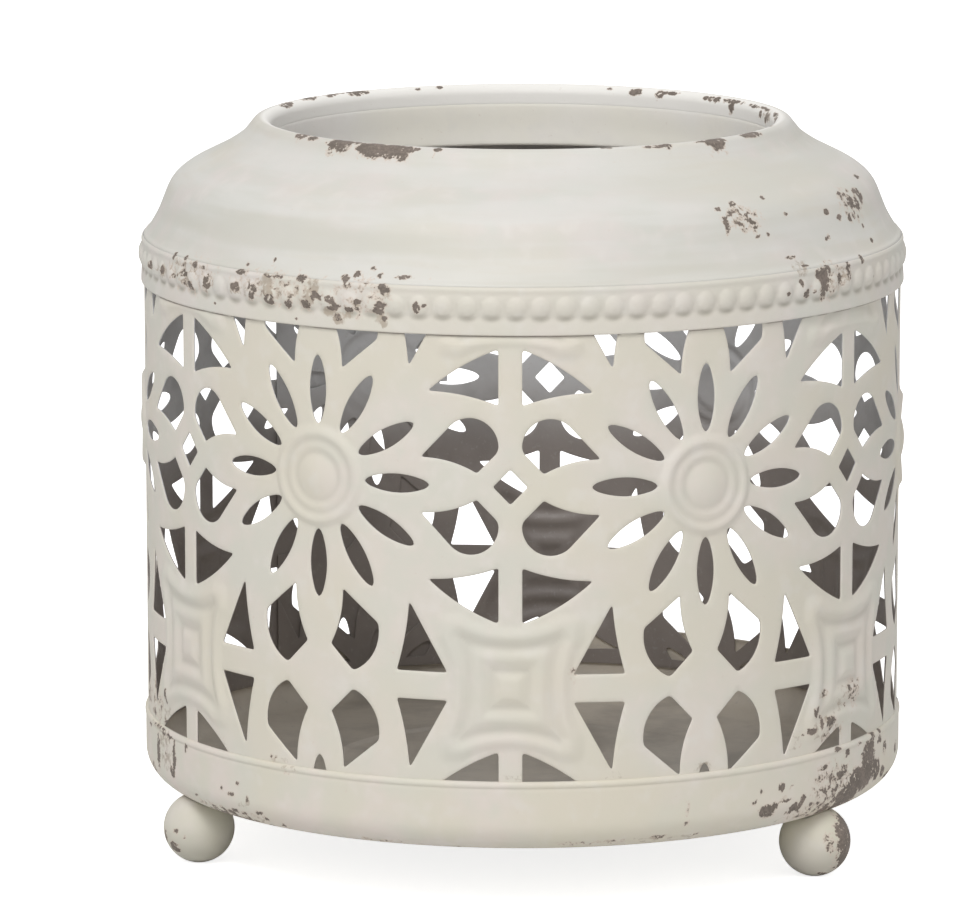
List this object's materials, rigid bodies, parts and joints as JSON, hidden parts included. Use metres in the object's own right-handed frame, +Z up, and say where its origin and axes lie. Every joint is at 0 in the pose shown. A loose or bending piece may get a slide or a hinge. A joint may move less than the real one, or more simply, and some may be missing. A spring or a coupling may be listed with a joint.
{
  "type": "candle lantern",
  "caption": "Round open-topped candle lantern of painted sheet metal, with a pierced and embossed wall, a beaded band, an ogee top with a wide neck and a shallow pan on ball feet.",
  "frame": {"origin": "on the floor, on the lantern's axis", "axes": "+Z is up along the lantern's axis, and the front is -Y, where the middle of an embossed square faces"},
  "size_m": [0.2002, 0.2012, 0.1896],
  "materials": {
    "painted_sheet": "matte cream paint, chipped to a brown-grey primer; the inside of the body is primer only",
    "painted_ball": "matte cream paint with small chips"
  },
  "bodies": {
    "root": {"base_pan": "painted_sheet", "pierced_wall": "painted_sheet", "bead_band": "painted_sheet", "top_dome": "painted_sheet", "neck_collar": "painted_sheet", "foot_left": "painted_ball", "foot_right": "painted_ball", "foot_back": "painted_ball"}
  },
  "joints": []
}
